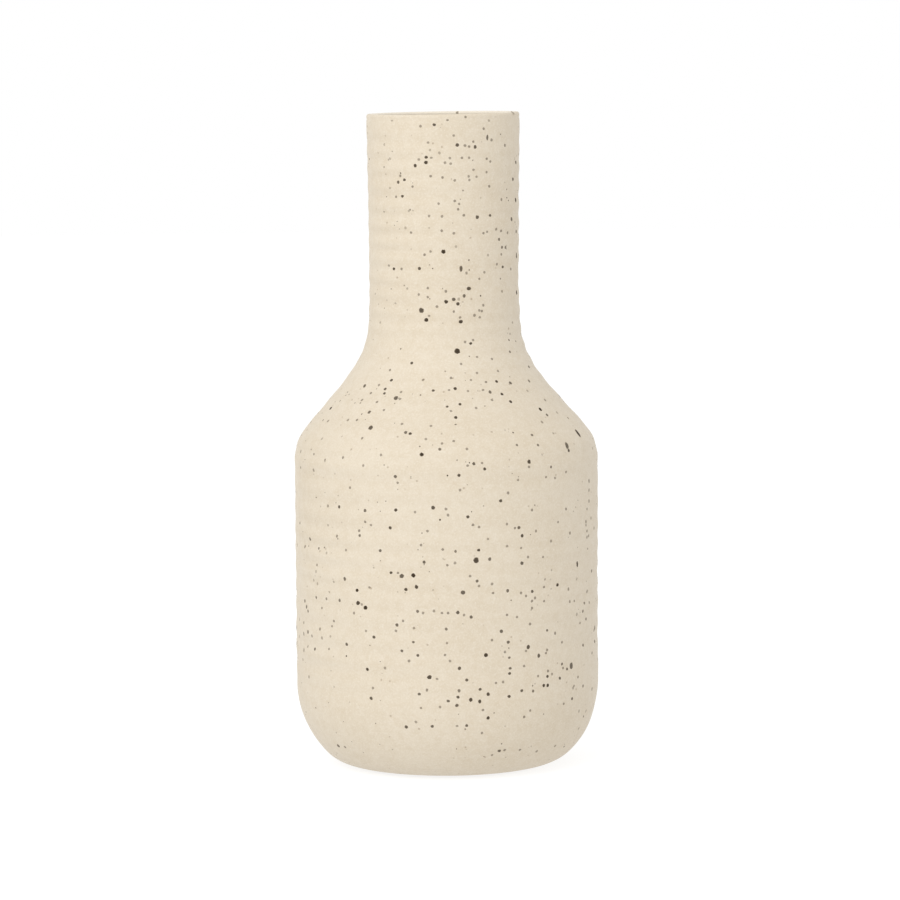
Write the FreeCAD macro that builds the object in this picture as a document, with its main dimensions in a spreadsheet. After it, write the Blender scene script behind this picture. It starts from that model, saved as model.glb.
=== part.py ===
import FreeCAD, Part
import math
import os
import re
import Sketcher
from FreeCAD import Vector

# A wheel-thrown stoneware bottle vase: a round-heeled body with an upright wall, a soft shoulder edge,
# a straight shoulder cone, and a neck that sweeps in to a narrow waist and opens again to the lip.
# Its pieces are the fired clay body, the glaze that lines it inside, and the pads under its foot.
# It stands on z = 0 and turns about the Z axis. Lengths are millimetres and angles are degrees.
# Heights on the body and its lining are measured up from the foot ring.

SIZES = {
    # Outside of the body, from the wall down to the foot and up to the lip
    "wall_radius": 69.9,
    "wall_top_height": 140.6,
    "heel_inset": 25.7,
    "heel_radius": 46.6,
    "foot_corner_radius": 17.7,
    "shoulder_edge_radius": 23.2,
    "shoulder_lean": 40.4,
    "waist_radius": 34.3,
    "sweep_width": 12.4,
    "sweep_rise": 32.5,
    "sweep_pull": 11.7,
    "waist_length": 13.9,
    "mouth_flare": 0.8,
    "body_height": 300.0,
    "lip_ease": 1.2,
    # Inside of the body
    "floor_thickness": 7.0,
    "inner_heel_inset": 16.9,
    "inner_heel_rise": 20.8,
    "wall_thickness": 6.0,
    "neck_thickness": 3.5,
    # Foot
    "foot_ring_width": 9.0,
    "foot_recess_depth": 2.0,
    # Glaze that lines the inside
    "lining_thickness": 0.4,
    # Pads under the foot ring
    "pad_radius": 3.5,
    "pad_thickness": 1.0,
    "pad_count": 3,
}

# Radii that more than one piece follows
FOOT_RADIUS = "(wall_radius - heel_inset)"
INNER_NECK_RADIUS = "(waist_radius - neck_thickness)"

# A sketch numbers an edge's two ends and its centre from one
START, END, CENTRE = range(1, 4)
# The sketch's origin is where its own level axis starts
ORIGIN = (-1, START)
# A curve's handles all pull alike
HANDLE_WEIGHT = 1


def in_sheet(words):
    """Words of an expression, with each size in them looked up in the sheet."""
    return re.sub(r"[a-z_]+", lambda name: f"Sizes.{name[0]}" if name[0] in SIZES else name[0], words)


def length(words):
    return f"({in_sheet(words)}) * 1 mm"


def angle(words):
    return f"({in_sheet(words)}) * 1 deg"


def number(sketch, words):
    """What an expression of named sizes comes to."""
    found = sketch.evalExpression(in_sheet(words))
    return float(getattr(found, "Value", found))


def point(sketch, radius, height):
    return Vector(number(sketch, radius), number(sketch, height), 0)


def make_sheet(doc):
    sheet = doc.addObject("Spreadsheet::Sheet", "Sizes")
    for row, (alias, value) in enumerate(SIZES.items(), start=1):
        sheet.set(f"A{row}", alias)
        sheet.set(f"B{row}", str(value))
        sheet.setAlias(f"B{row}", alias)
    doc.recompute()


def new_body(doc, label):
    body = doc.addObject("PartDesign::Body", label)
    body.Label = label
    return body


def new_sketch(body, name, role):
    sketch = body.newObject("Sketcher::SketchObject", name)
    plane = next(feature for feature in body.Origin.OriginFeatures if feature.Role == role)
    sketch.AttachmentSupport = (plane, [""])
    sketch.MapMode = "FlatFace"
    return sketch


def tie(sketch, kind, *where):
    """A constraint with no size of its own."""
    return sketch.addConstraint(Sketcher.Constraint(kind, *where))


def tie_size(sketch, kind, *where, now, words):
    """A constraint whose size follows the sheet."""
    index = sketch.addConstraint(Sketcher.Constraint(kind, *where, now))
    sketch.setExpression(f"Constraints[{index}]", words)


def tie_radius(sketch, edge, end, words):
    """Keeps one end of an edge at a distance from the axis."""
    now = number(sketch, words)
    tie_size(sketch, "DistanceX", *ORIGIN, edge, end, now=now, words=length(words))


def tie_height(sketch, edge, end, words):
    """Keeps one end of an edge at a height above the foot ring."""
    now = number(sketch, words)
    tie_size(sketch, "DistanceY", *ORIGIN, edge, end, now=now, words=length(words))


def add_line(sketch, start, end):
    return sketch.addGeometry(Part.LineSegment(start, end), False)


def add_arc(sketch, centre, radius, start_turn, end_turn):
    """An arc whose radius follows a named size. Its turns are degrees up from level."""
    circle = Part.Circle(centre, Vector(0, 0, 1), SIZES[radius])
    arc = Part.ArcOfCircle(circle, math.radians(start_turn), math.radians(end_turn))
    index = sketch.addGeometry(arc, False)
    tie_size(sketch, "Radius", index, now=SIZES[radius], words=length(radius))
    return index


def add_sweep(sketch, foot, top):
    """The curve that carries the shoulder cone into the upright waist: one cubic with two handles,
    each as long as the sweep's pull, one in line with the cone and one in line with the waist."""
    across = "sweep_pull * sin(shoulder_lean * 1 deg)"
    up = "sweep_pull * cos(shoulder_lean * 1 deg)"
    foot_handle = foot + Vector(-number(sketch, across), number(sketch, up), 0)
    top_handle = top - Vector(0, SIZES["sweep_pull"], 0)
    poles = [foot, foot_handle, top_handle, top]
    curve = Part.BSplineCurve()
    curve.buildFromPolesMultsKnots(poles, [4, 4], [0, 1], False, 3)
    sweep = sketch.addGeometry(curve, False)
    marks = []
    for index, pole in enumerate(poles):
        mark = sketch.addGeometry(Part.Circle(pole, Vector(0, 0, 1), HANDLE_WEIGHT), True)
        tie(sketch, "InternalAlignment:Sketcher::BSplineControlPoint", mark, CENTRE, sweep, index)
        marks.append(mark)
    tie(sketch, "Weight", marks[0], HANDLE_WEIGHT)
    for mark in marks[1:]:
        tie(sketch, "Equal", marks[0], mark)
    foot_mark, foot_handle_mark, top_handle_mark, top_mark = [(mark, CENTRE) for mark in marks]
    now = number(sketch, across)
    tie_size(sketch, "DistanceX", *foot_handle_mark, *foot_mark, now=now, words=length(across))
    now = number(sketch, up)
    tie_size(sketch, "DistanceY", *foot_mark, *foot_handle_mark, now=now, words=length(up))
    tie(sketch, "Vertical", *top_handle_mark, *top_mark)
    now = SIZES["sweep_pull"]
    tie_size(sketch, "DistanceY", *top_handle_mark, *top_mark, now=now, words=length("sweep_pull"))
    return sweep


def draw_outside(sketch):
    """Half of the outside, from the middle of the foot up to the lip and back down the axis."""
    heel_step = "(heel_radius - foot_corner_radius)"
    heel_turn = f"acos((heel_radius - heel_inset) / {heel_step})"
    heel_height = f"foot_corner_radius + {heel_step} * sin({heel_turn})"
    lean = "shoulder_lean * 1 deg"
    cone_start_radius = f"(wall_radius - shoulder_edge_radius * (1 - cos({lean})))"
    cone_start_height = f"wall_top_height + shoulder_edge_radius * sin({lean})"
    sweep_radius = "waist_radius + sweep_width"
    sweep_height = f"{cone_start_height} + ({cone_start_radius} - {sweep_radius}) / tan({lean})"
    waist_height = f"{sweep_height} + sweep_rise"
    flare_height = f"{waist_height} + waist_length"
    mouth_radius = "waist_radius + mouth_flare"

    foot_middle = Vector()
    foot_edge = point(sketch, FOOT_RADIUS, "0")
    wall_foot = point(sketch, "wall_radius", heel_height)
    wall_top = point(sketch, "wall_radius", "wall_top_height")
    cone_start = point(sketch, cone_start_radius, cone_start_height)
    sweep_start = point(sketch, sweep_radius, sweep_height)
    waist_foot = point(sketch, "waist_radius", waist_height)
    flare_start = point(sketch, "waist_radius", flare_height)
    mouth = point(sketch, mouth_radius, "body_height")
    mouth_middle = point(sketch, "0", "body_height")
    corner_centre = point(sketch, FOOT_RADIUS, "foot_corner_radius")
    heel_centre = point(sketch, "wall_radius - heel_radius", heel_height)
    edge_centre = point(sketch, "wall_radius - shoulder_edge_radius", "wall_top_height")
    turn = number(sketch, heel_turn)

    foot = add_line(sketch, foot_middle, foot_edge)
    corner = add_arc(sketch, corner_centre, "foot_corner_radius", -90, -turn)
    heel = add_arc(sketch, heel_centre, "heel_radius", -turn, 0)
    wall = add_line(sketch, wall_foot, wall_top)
    edge = add_arc(sketch, edge_centre, "shoulder_edge_radius", 0, SIZES["shoulder_lean"])
    cone = add_line(sketch, cone_start, sweep_start)
    sweep = add_sweep(sketch, sweep_start, waist_foot)
    waist = add_line(sketch, waist_foot, flare_start)
    flare = add_line(sketch, flare_start, mouth)
    lip = add_line(sketch, mouth, mouth_middle)
    axis = add_line(sketch, mouth_middle, foot_middle)

    rounded = [foot, corner, heel, wall, edge, cone]
    for below, above in zip(rounded, rounded[1:]):
        tie(sketch, "Tangent", below, END, above, START)
    plain = [cone, sweep, waist, flare, lip, axis, foot]
    for below, above in zip(plain, plain[1:]):
        tie(sketch, "Coincident", below, END, above, START)
    tie(sketch, "Coincident", foot, START, *ORIGIN)
    tie(sketch, "Vertical", *ORIGIN, lip, END)
    tie(sketch, "Horizontal", foot)
    tie(sketch, "Horizontal", lip)
    tie(sketch, "Vertical", wall)
    tie(sketch, "Vertical", waist)
    tie_radius(sketch, foot, END, FOOT_RADIUS)
    tie_radius(sketch, wall, END, "wall_radius")
    tie_height(sketch, wall, END, "wall_top_height")
    cone_turn = math.radians(90 + SIZES["shoulder_lean"])
    tie_size(sketch, "Angle", cone, now=cone_turn, words=angle("90 + shoulder_lean"))
    tie_radius(sketch, cone, END, sweep_radius)
    tie_radius(sketch, waist, START, "waist_radius")
    rise = SIZES["sweep_rise"]
    tie_size(sketch, "DistanceY", cone, END, waist, START, now=rise, words=length("sweep_rise"))
    run = SIZES["waist_length"]
    tie_size(sketch, "DistanceY", waist, START, waist, END, now=run, words=length("waist_length"))
    tie_radius(sketch, flare, END, mouth_radius)
    tie_height(sketch, flare, END, "body_height")


def draw_corners(sketch, corners):
    """A closed outline of straight edges. Each corner is a radius and a height in words of named
    sizes, and a corner on the axis has no radius."""
    places = [point(sketch, radius or "0", height) for radius, height in corners]
    edges = [add_line(sketch, start, end) for start, end in zip(places, places[1:] + places[:1])]
    for edge, following in zip(edges, edges[1:] + edges[:1]):
        tie(sketch, "Coincident", edge, END, following, START)
    for edge, (radius, height) in zip(edges, corners):
        if radius:
            tie_radius(sketch, edge, START, radius)
        else:
            tie(sketch, "Vertical", *ORIGIN, edge, START)
        tie_height(sketch, edge, START, height)


def hollow_corners(inset):
    """Corners of the hollow from the rim of its floor up to the foot of its neck, drawn in from the
    clay by an inset. The hollow's shoulder lies parallel to the outside cone, one wall inside it."""
    inner_wall = "(wall_radius - wall_thickness)"
    slope = "atan(inner_heel_rise / inner_heel_inset)"
    floor_radius = f"{inner_wall} - inner_heel_inset - {inset} * tan({slope} / 2)"
    wall_start = f"floor_thickness + inner_heel_rise + {inset} * tan(45 deg - {slope} / 2)"
    half_lean = "tan(shoulder_lean * 0.5 deg)"
    shoulder = f"(wall_top_height + (shoulder_edge_radius - wall_thickness - {inset}) * {half_lean})"
    cone_rise = f"({inner_wall} - {INNER_NECK_RADIUS}) / tan(shoulder_lean * 1 deg)"
    return [
        (floor_radius, f"floor_thickness + {inset}"),
        (f"{inner_wall} - {inset}", wall_start),
        (f"{inner_wall} - {inset}", shoulder),
        (f"{INNER_NECK_RADIUS} - {inset}", f"{shoulder} + {cone_rise}"),
    ]


def turn_profile(body, kind, name, sketch):
    """A full turn of a profile about the body's upright axis: a Revolution adds, a Groove cuts."""
    feature = body.newObject(f"PartDesign::{kind}", name)
    feature.Profile = sketch
    feature.ReferenceAxis = (sketch, ["V_Axis"])
    feature.Angle = 360
    return feature


def check_cut(doc, feature, before):
    """A cut has to take clay away."""
    doc.recompute()
    if not feature.Shape.Volume < before:
        raise ValueError(f"{feature.Name} cuts nothing")
    return feature.Shape.Volume


def make_stoneware_body(doc):
    """The fired clay: turned outside, hollowed from the mouth, with a recess inside the foot ring
    and both edges of the lip eased."""
    body = new_body(doc, "stoneware_body")
    outside = new_sketch(body, "body_outside", "XZ_Plane")
    draw_outside(outside)
    turned = turn_profile(body, "Revolution", "turned_outside", outside)
    doc.recompute()
    volume = turned.Shape.Volume

    inside = new_sketch(body, "body_hollow", "XZ_Plane")
    neck_top = (INNER_NECK_RADIUS, "body_height")
    hollow = [(None, "floor_thickness"), *hollow_corners("0"), neck_top, (None, "body_height")]
    draw_corners(inside, hollow)
    hollowed = turn_profile(body, "Groove", "hollow", inside)
    volume = check_cut(doc, hollowed, volume)

    recess = new_sketch(body, "foot_recess_outline", "XY_Plane")
    recess_radius = f"{FOOT_RADIUS} - foot_ring_width"
    now = number(recess, recess_radius)
    circle = recess.addGeometry(Part.Circle(Vector(), Vector(0, 0, 1), now), False)
    tie(recess, "Coincident", circle, CENTRE, *ORIGIN)
    tie_size(recess, "Radius", circle, now=now, words=length(recess_radius))
    cut = body.newObject("PartDesign::Pocket", "foot_recess")
    cut.Profile = recess
    cut.Reversed = True
    cut.setExpression("Length", length("foot_recess_depth"))
    volume = check_cut(doc, cut, volume)

    lip = body.newObject("PartDesign::Chamfer", "eased_lip")
    lip.Base = (cut, lip_edges(cut.Shape))
    lip.setExpression("Size", length("lip_ease"))
    check_cut(doc, lip, volume)
    body.setExpression("Placement.Base.z", length("pad_thickness"))
    return body


def lip_edges(shape):
    """The two round edges where the wall meets the flat of the lip."""
    top = shape.BoundBox.ZMax
    names = []
    for index, edge in enumerate(shape.Edges, start=1):
        level = edge.BoundBox.ZLength < Part.Vertex(Vector()).Tolerance * 2
        if level and math.isclose(edge.BoundBox.ZMax, top, rel_tol=1e-6):
            names.append(f"Edge{index}")
    return names


def make_lining_glaze(doc):
    """The glaze that makes the pot hold water: an even skin over the whole hollow, which ends where
    the lip's inner edge is eased."""
    body = new_body(doc, "lining_glaze")
    sketch = new_sketch(body, "lining_section", "XZ_Plane")
    top = "body_height - lip_ease"
    against_clay = hollow_corners("0") + [(INNER_NECK_RADIUS, top)]
    bare_side = hollow_corners("lining_thickness") + [(f"{INNER_NECK_RADIUS} - lining_thickness", top)]
    foot = [(None, "floor_thickness")]
    floor = [(None, "floor_thickness + lining_thickness")]
    draw_corners(sketch, foot + against_clay + bare_side[::-1] + floor)
    turn_profile(body, "Revolution", "lining", sketch)
    body.setExpression("Placement.Base.z", length("pad_thickness"))
    return body


def make_foot_pads(doc):
    """Round pads, evenly spaced on the middle of the foot ring, the first one at the back."""
    body = new_body(doc, "foot_pads")
    body.AllowCompound = True
    outline = new_sketch(body, "pad_outline", "XY_Plane")
    seat = f"{FOOT_RADIUS} - foot_ring_width / 2"
    middle = Vector(0, number(outline, seat), 0)
    circle = outline.addGeometry(Part.Circle(middle, Vector(0, 0, 1), SIZES["pad_radius"]), False)
    tie(outline, "Vertical", *ORIGIN, circle, CENTRE)
    tie_height(outline, circle, CENTRE, seat)
    tie_size(outline, "Radius", circle, now=SIZES["pad_radius"], words=length("pad_radius"))
    pad = body.newObject("PartDesign::Pad", "pad")
    pad.Profile = outline
    pad.setExpression("Length", length("pad_thickness"))
    doc.recompute()
    ring = body.newObject("PartDesign::PolarPattern", "ring_of_pads")
    ring.Originals = [pad]
    ring.Axis = (outline, ["N_Axis"])
    ring.Angle = 360
    ring.setExpression("Occurrences", in_sheet("pad_count"))
    body.Tip = ring
    return body


def check(doc, pieces):
    for item in doc.Objects:
        if "Invalid" in item.State or "Error" in item.State:
            raise ValueError(f"{item.Name} is {item.State}")
    for piece in pieces:
        if piece.Shape.isNull() or not piece.Shape.isValid():
            raise ValueError(f"{piece.Label} has no valid shape")


def main():
    doc = FreeCAD.newDocument("bottle_vase")
    make_sheet(doc)
    pieces = [make_stoneware_body(doc), make_lining_glaze(doc), make_foot_pads(doc)]
    doc.recompute()
    check(doc, pieces)
    os.makedirs("parts", exist_ok=True)
    for piece in pieces:
        piece.Shape.exportStep(f"parts/{piece.Label}.step")
        print(piece.Label, len(piece.Shape.Solids), "solids", round(piece.Shape.Volume), "cubic mm")


main()
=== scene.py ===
import math
import random

import bpy
import numpy as np
from mathutils import Matrix, Vector, noise
from mathutils.bvhtree import BVHTree


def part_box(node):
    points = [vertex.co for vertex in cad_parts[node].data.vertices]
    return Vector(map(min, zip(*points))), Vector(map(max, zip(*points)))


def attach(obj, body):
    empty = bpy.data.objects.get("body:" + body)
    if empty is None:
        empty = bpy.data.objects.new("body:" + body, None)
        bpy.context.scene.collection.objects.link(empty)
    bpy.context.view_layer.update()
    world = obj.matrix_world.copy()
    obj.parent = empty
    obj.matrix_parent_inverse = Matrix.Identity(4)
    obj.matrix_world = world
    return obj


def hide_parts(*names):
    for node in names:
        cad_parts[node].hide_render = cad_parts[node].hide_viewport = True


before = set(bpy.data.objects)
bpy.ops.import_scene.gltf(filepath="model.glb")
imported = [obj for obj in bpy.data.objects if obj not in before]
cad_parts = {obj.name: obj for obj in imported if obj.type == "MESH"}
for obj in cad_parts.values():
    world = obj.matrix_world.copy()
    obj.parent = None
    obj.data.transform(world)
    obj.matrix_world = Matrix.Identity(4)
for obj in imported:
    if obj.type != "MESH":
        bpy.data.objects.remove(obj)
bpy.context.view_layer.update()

# A wheel-thrown bottle vase in sandy stoneware: the turned body with its throwing rings and soft lip,
# the glaze that lines it, the iron specks and grains that stand in its matt coat, and the felt pads
# under its foot ring. Lengths are metres. Heights up to the lip are measured from the foot ring.

BODY_LOW, BODY_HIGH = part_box("stoneware_body")
PADS_LOW, PADS_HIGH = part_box("foot_pads")

# The body's outline
FOOT_LIFT = BODY_LOW.z
WALL_RADIUS = BODY_HIGH.x
BODY_HEIGHT = BODY_HIGH.z - FOOT_LIFT
HEEL_INSET = 0.0257
HEEL_RADIUS = 0.0466
FOOT_CORNER_RADIUS = 0.0177
WALL_TOP = 0.1406
SHOULDER_EDGE_RADIUS = 0.0232
SHOULDER_LEAN = math.radians(40.4)
WAIST_RADIUS = 0.0343
SWEEP_WIDTH = 0.0124
SWEEP_RISE = 0.0325
SWEEP_PULL = 0.0117
WAIST_LENGTH = 0.0139
MOUTH_FLARE = 0.0008
LIP_ROUND = 0.0008
LIP_FALL = 0.0016
LIP_INNER_ROUND = 0.0012
LIP_GROOVE_DROP = 0.0024
LIP_GROOVE_SPAN = 0.0007
LIP_GROOVE_DEPTH = 0.00016
# Inside the lip the coat is paler: partly real wear, partly painted light that lightens the shade inside the
# mouth. How far down from the lip, from what radius inward, and over what span it comes in
WORN_AND_PAINTED_LIGHT_REACH = 0.0024
WORN_AND_PAINTED_LIGHT_RADIUS = 0.0338
WORN_AND_PAINTED_LIGHT_SPAN = 0.0014
# The hollow
FLOOR_THICKNESS = 0.007
WALL_THICKNESS = 0.006
NECK_THICKNESS = 0.0035
INNER_HEEL_INSET = 0.0169
INNER_HEEL_RISE = 0.0208
HOLLOW_SOFTENING = 0.012
LINING_THICKNESS = 0.0004
LINING_TOP = 0.0026
LINING_THINNING = 0.003
LINING_EDGE = 0.00006
INNER_RINGS_START = 0.012
INNER_RING_PITCH = 0.0088
INNER_RING_DEPTH = 0.0003
# The foot
FOOT_RADIUS = WALL_RADIUS - HEEL_INSET
FOOT_RING_WIDTH = 0.009
FOOT_RECESS_DEPTH = 0.002
FOOT_ROUND = 0.0005
TURNING_PITCH = 0.0031
TURNING_DEPTH = 0.00022

# How finely the surfaces are drawn
TURNS = 168
FINE_STEP = 0.00085
LIP_STEP = 0.0003
LINER_STEP = 0.0016
COARSE_STEP = 0.004
SWEEP_STEPS = 60

# The camera that the photograph was taken with, and its frame in pixels
FRAME_SIDE = 900
SENSOR_WIDTH = 36.0
FOCAL_PIXELS = 3912.0
CAMERA_DISTANCE = 1.8
CAMERA_HEIGHT = 0.319
CAMERA_PITCH = 0.0968
CAMERA_ROLL = -0.0088
AXIS_COLUMN = 445.75


def add_to_scene(name, data):
    """A new object in the scene, at the origin."""
    thing = bpy.data.objects.new(name, data)
    bpy.context.scene.collection.objects.link(thing)
    return thing


def keep_values(mesh, title, values, kind="FLOAT"):
    """Keeps a value for each point of a mesh, under a name that node trees can read."""
    field = "vector" if kind == "FLOAT_VECTOR" else "value"
    mesh.attributes.new(title, kind, "POINT").data.foreach_set(field, values)


def camera_matrix():
    upright = Matrix.Rotation(math.pi / 2 - CAMERA_PITCH, 4, "X") @ Matrix.Rotation(CAMERA_ROLL, 4, "Z")
    return Matrix.Translation((0, -CAMERA_DISTANCE, CAMERA_HEIGHT + FOOT_LIFT)) @ upright


def add_camera():
    lens = bpy.data.cameras.new("camera")
    lens.sensor_width = SENSOR_WIDTH
    lens.lens = FOCAL_PIXELS / FRAME_SIDE * SENSOR_WIDTH
    lens.shift_x = (FRAME_SIDE / 2 - AXIS_COLUMN) / FRAME_SIDE
    camera = add_to_scene("camera", lens)
    camera.matrix_world = camera_matrix()
    bpy.context.scene.camera = camera


def pixel_of(point):
    """Column and row where a point falls in the photograph's frame."""
    seen = camera_matrix().inverted() @ Vector(point)
    column = AXIS_COLUMN + FOCAL_PIXELS * seen.x / -seen.z
    row = FRAME_SIDE / 2 - FOCAL_PIXELS * seen.y / -seen.z
    return column, row


def ray_through(column, row):
    """Where the camera stands, and the way to a pixel of its frame."""
    matrix = camera_matrix()
    along = Vector(((column - AXIS_COLUMN) / FOCAL_PIXELS, (FRAME_SIDE / 2 - row) / FOCAL_PIXELS, -1))
    return matrix.translation, (matrix.to_3x3() @ along).normalized()


# Outlines, as radius and height

def arc(centre, radius, start, end, step=FINE_STEP):
    """Points along an arc, from one turn up from level to another, in degrees."""
    start, end = math.radians(start), math.radians(end)
    count = max(3, math.ceil(abs(end - start) * radius / step))
    turns = np.linspace(start, end, count + 1)
    return np.stack([centre[0] + radius * np.cos(turns), centre[1] + radius * np.sin(turns)], 1)


def sweep(foot, foot_handle, top_handle, top):
    """Points along a curve with a handle at each end."""
    share = np.linspace(0, 1, SWEEP_STEPS + 1)[:, None]
    rest = 1 - share
    low = rest ** 3 * np.array(foot) + 3 * rest ** 2 * share * np.array(foot_handle)
    return low + 3 * rest * share ** 2 * np.array(top_handle) + share ** 3 * np.array(top)


def run_along(points):
    """How far along the line each of its points is."""
    return np.concatenate([[0], np.cumsum(np.hypot(*np.diff(points, axis=0).T))])


def respaced(points, step):
    """The same line with its points a step apart."""
    run = run_along(points)
    apart = np.concatenate([[True], np.diff(run) > 0])
    points, run = points[apart], run[apart]
    places = np.linspace(0, run[-1], max(2, math.ceil(run[-1] / step)) + 1)
    return np.stack([np.interp(places, run, points[:, axis]) for axis in range(2)], 1)


def softened(corners, radius, step):
    """A line through corners, with an arc inside each corner."""
    line = [np.array(corners[0])]
    for before, corner, after in zip(corners, corners[1:], corners[2:]):
        before, corner, after = (np.array(place, float) for place in (before, corner, after))
        back = (before - corner) / np.linalg.norm(before - corner)
        ahead = (after - corner) / np.linalg.norm(after - corner)
        half = math.acos(np.clip(back @ ahead, -1, 1)) / 2
        reach = radius / math.tan(half)
        middle = corner + (back + ahead) / np.linalg.norm(back + ahead) * radius / math.sin(half)
        first, last = corner + back * reach - middle, corner + ahead * reach - middle
        start = math.atan2(first[1], first[0])
        swept = math.remainder(math.atan2(last[1], last[0]) - start, 2 * math.pi)
        line += list(arc(middle, radius, math.degrees(start), math.degrees(start + swept), step))
    line.append(np.array(corners[-1]))
    return respaced(np.array(line), step)


def outside_outline():
    """From the foot ring's outer edge up to where the lip starts to round over."""
    heel_step = HEEL_RADIUS - FOOT_CORNER_RADIUS
    heel_turn = math.acos((HEEL_RADIUS - HEEL_INSET) / heel_step)
    heel_height = FOOT_CORNER_RADIUS + heel_step * math.sin(heel_turn)
    cone_radius = WALL_RADIUS - SHOULDER_EDGE_RADIUS * (1 - math.cos(SHOULDER_LEAN))
    cone_height = WALL_TOP + SHOULDER_EDGE_RADIUS * math.sin(SHOULDER_LEAN)
    sweep_radius = WAIST_RADIUS + SWEEP_WIDTH
    sweep_height = cone_height + (cone_radius - sweep_radius) / math.tan(SHOULDER_LEAN)
    waist_height = sweep_height + SWEEP_RISE
    pull = (-SWEEP_PULL * math.sin(SHOULDER_LEAN), SWEEP_PULL * math.cos(SHOULDER_LEAN))
    turn = math.degrees(heel_turn)
    lean = math.degrees(SHOULDER_LEAN)
    stretches = [
        arc((FOOT_RADIUS, FOOT_CORNER_RADIUS), FOOT_CORNER_RADIUS, -90, -turn),
        arc((WALL_RADIUS - HEEL_RADIUS, heel_height), HEEL_RADIUS, -turn, 0),
        arc((WALL_RADIUS - SHOULDER_EDGE_RADIUS, WALL_TOP), SHOULDER_EDGE_RADIUS, 0, lean),
        sweep((sweep_radius, sweep_height), (sweep_radius + pull[0], sweep_height + pull[1]),
              (WAIST_RADIUS, waist_height - SWEEP_PULL), (WAIST_RADIUS, waist_height)),
        np.array([(WAIST_RADIUS, waist_height + WAIST_LENGTH),
                  (WAIST_RADIUS + MOUTH_FLARE, BODY_HEIGHT - LIP_FALL)]),
    ]
    outline = respaced(np.concatenate(stretches), FINE_STEP)
    drop = BODY_HEIGHT - outline[:, 1] - LIP_GROOVE_DROP
    outline[:, 0] -= LIP_GROOVE_DEPTH * np.exp(-(drop / LIP_GROOVE_SPAN) ** 2)
    return outline


def hollow_outline(inset, top, step):
    """From a height in the neck down to the middle of the floor, drawn in from the clay by an inset."""
    wall = WALL_RADIUS - WALL_THICKNESS
    neck = WAIST_RADIUS - NECK_THICKNESS
    slope = math.atan2(INNER_HEEL_RISE, INNER_HEEL_INSET)
    half_lean = math.tan(SHOULDER_LEAN / 2)
    shoulder = WALL_TOP + (SHOULDER_EDGE_RADIUS - WALL_THICKNESS - inset) * half_lean
    floor_edge = wall - INNER_HEEL_INSET - inset * math.tan(slope / 2)
    wall_start = FLOOR_THICKNESS + INNER_HEEL_RISE + inset * math.tan(math.pi / 4 - slope / 2)
    corners = [
        (neck - inset, top),
        (neck - inset, shoulder + (wall - neck) / math.tan(SHOULDER_LEAN)),
        (wall - inset, shoulder),
        (wall - inset, wall_start),
        (floor_edge, FLOOR_THICKNESS + inset),
        (0, FLOOR_THICKNESS + inset),
    ]
    return softened(corners, HOLLOW_SOFTENING, step)


def underside_outline():
    """From the middle of the recess under the foot out to the foot ring's outer edge."""
    inner = FOOT_RADIUS - FOOT_RING_WIDTH
    recess = softened([(0, FOOT_RECESS_DEPTH), (inner, FOOT_RECESS_DEPTH), (inner, 0), (FOOT_RADIUS, 0)],
                      FOOT_ROUND, FINE_STEP)
    grooves = (np.cos(recess[:, 0] / TURNING_PITCH * 2 * np.pi) - 1) / 2 * TURNING_DEPTH
    middle = recess[:, 0] < inner - 2 * FOOT_ROUND
    recess[middle, 1] -= grooves[middle]
    return recess


def lip_outline():
    """Over the lip, from its outer round to its inner one."""
    outer, inner = WAIST_RADIUS + MOUTH_FLARE, WAIST_RADIUS - NECK_THICKNESS
    over = arc((0, 0), 1, 0, 90, LIP_STEP / LIP_FALL) * (LIP_ROUND, LIP_FALL)
    over += (outer - LIP_ROUND, BODY_HEIGHT - LIP_FALL)
    under = arc((inner + LIP_INNER_ROUND, BODY_HEIGHT - LIP_INNER_ROUND), LIP_INNER_ROUND, 90, 180, LIP_STEP)
    return respaced(np.concatenate([over, under]), LIP_STEP)


def circle(radius, height, sides):
    """Points round the axis."""
    turns = [side / sides * 2 * math.pi for side in range(sides)]
    return [(radius * math.cos(turn), radius * math.sin(turn), height) for turn in turns]


def turned_faces(sides, rings, first=0):
    """Faces over rings of points, with an end point before the first ring and one after the last."""
    beside = [(first + 1 + side, first + 1 + (side + 1) % sides) for side in range(sides)]
    last = (rings - 1) * sides
    faces = [(first, after, here) for here, after in beside]
    for low in range(0, last, sides):
        high = low + sides
        faces += [(here + low, after + low, after + high, here + high) for here, after in beside]
    return faces + [(here + last, after + last, first + 1 + rings * sides) for here, after in beside]


# Marks that throwing left

# Rows of the photograph where a throwing ring stands proud at the vase's left edge
RING_ROWS = (
    131, 150, 168, 186, 205, 224, 241, 257, 277, 293, 310, 327, 343, 359, 376, 397, 419, 439,
    457, 480, 504, 527, 545, 564, 583, 602, 624, 644, 666, 688,
)
RING_DEPTH = 0.00025
RING_FADE_IN = (0.030, 0.052)
# They are a little deeper on the right of the photograph
RING_SIDE = 0.15
# Where round the pot the fingers pressed harder or more lightly: the turn and its span, and by how much
RING_GRIPS = (
    (math.radians(218), math.radians(21), 1.5),
    (math.radians(290), math.radians(38), -0.55),
)
# A rib smoothed the shoulder
SHOULDER_SMOOTHING = 0.3
SMOOTHED_HEIGHT = 0.172
SMOOTHED_SPAN = 0.017
# Slow drifts of the surface, as the span and the seed of each one's noise
DEPTH_DRIFT = (0.030, 3.0)
WALL_DRIFT = (0.055, 11.0)
LEVEL_DRIFT = (0.045, 23.0)
RING_UNEVEN = 0.75
WOBBLE = 0.00016
RING_TILT = 0.0008
SEED_SHIFT = (1, 0.37, -0.71)
# The drifts are worked out on a net with fewer rows and turns than the surface
NET_ROWS = 90
NET_TURN_STEP = 6
# Rows over which the relief dies away at each end
RELIEF_END_ROWS = 6
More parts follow.
